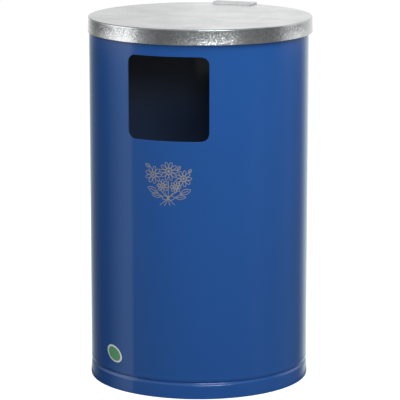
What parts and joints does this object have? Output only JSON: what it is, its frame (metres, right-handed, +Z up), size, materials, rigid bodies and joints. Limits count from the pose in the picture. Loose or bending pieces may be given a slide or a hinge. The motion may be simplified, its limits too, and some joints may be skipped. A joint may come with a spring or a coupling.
{
  "type": "outdoor waste bin",
  "caption": "Round outdoor waste bin of painted sheet steel with a square drop opening, a hinged flat galvanised lid and a lift-out inner container with a bail.",
  "frame": {"origin": "on the casing's axis, at the floor the bin stands on", "axes": "+Z up; -Y the front, where the drop opening is; the lid's hinge is at the back, on +Y; +X to the right of someone facing the front"},
  "size_m": [0.3684, 0.3758, 0.6056],
  "materials": {
    "blue_paint": "smooth powder coat, satin gloss",
    "galvanised_zinc": "galvanised sheet with a fine mottled spangle",
    "plated_steel": "bright zinc plated",
    "printed_film": "thin self-adhesive film, satin"
  },
  "bodies": {
    "housing": {"body_shell": "blue_paint", "base_pan": "blue_paint", "oval_sticker": "printed_film", "hinge_body_leaf": "galvanised_zinc", "hinge_packing_block": "blue_paint", "hinge_pin": "plated_steel", "body_leaf_rivet_1": "plated_steel", "body_leaf_rivet_2": "plated_steel", "body_leaf_rivet_3": "plated_steel", "body_leaf_rivet_4": "plated_steel"},
    "lid": {"lid_cover": "galvanised_zinc", "hinge_lid_leaf": "galvanised_zinc", "lid_leaf_rivet_1": "plated_steel", "lid_leaf_rivet_2": "plated_steel"},
    "liner": {"liner_body": "galvanised_zinc", "liner_bottom": "galvanised_zinc", "liner_rim_wire": "plated_steel", "liner_ear_left": "galvanised_zinc", "liner_ear_right": "galvanised_zinc", "liner_ear_rivet_left_1": "plated_steel", "liner_ear_rivet_left_2": "plated_steel", "liner_ear_rivet_right_1": "plated_steel", "liner_ear_rivet_right_2": "plated_steel"},
    "bail": {"liner_bail": "plated_steel"}
  },
  "joints": [
    {"name": "lid_hinge", "type": "hinge", "parent": "housing", "child": "lid", "pos_m": [0.01203, 0.18563, 0.5697], "axis": [-0.9986, 0.0523, 0], "range_deg": [0, 165]},
    {"name": "liner_lift", "type": "slide", "parent": "housing", "child": "liner", "axis": [0, 0, 1], "range_m": [0, 0.06]},
    {"name": "bail_swing", "type": "hinge", "parent": "liner", "child": "bail", "pos_m": [0, 0, 0.3355], "axis": [-1, 0, 0], "range_deg": [0, 210]}
  ]
}
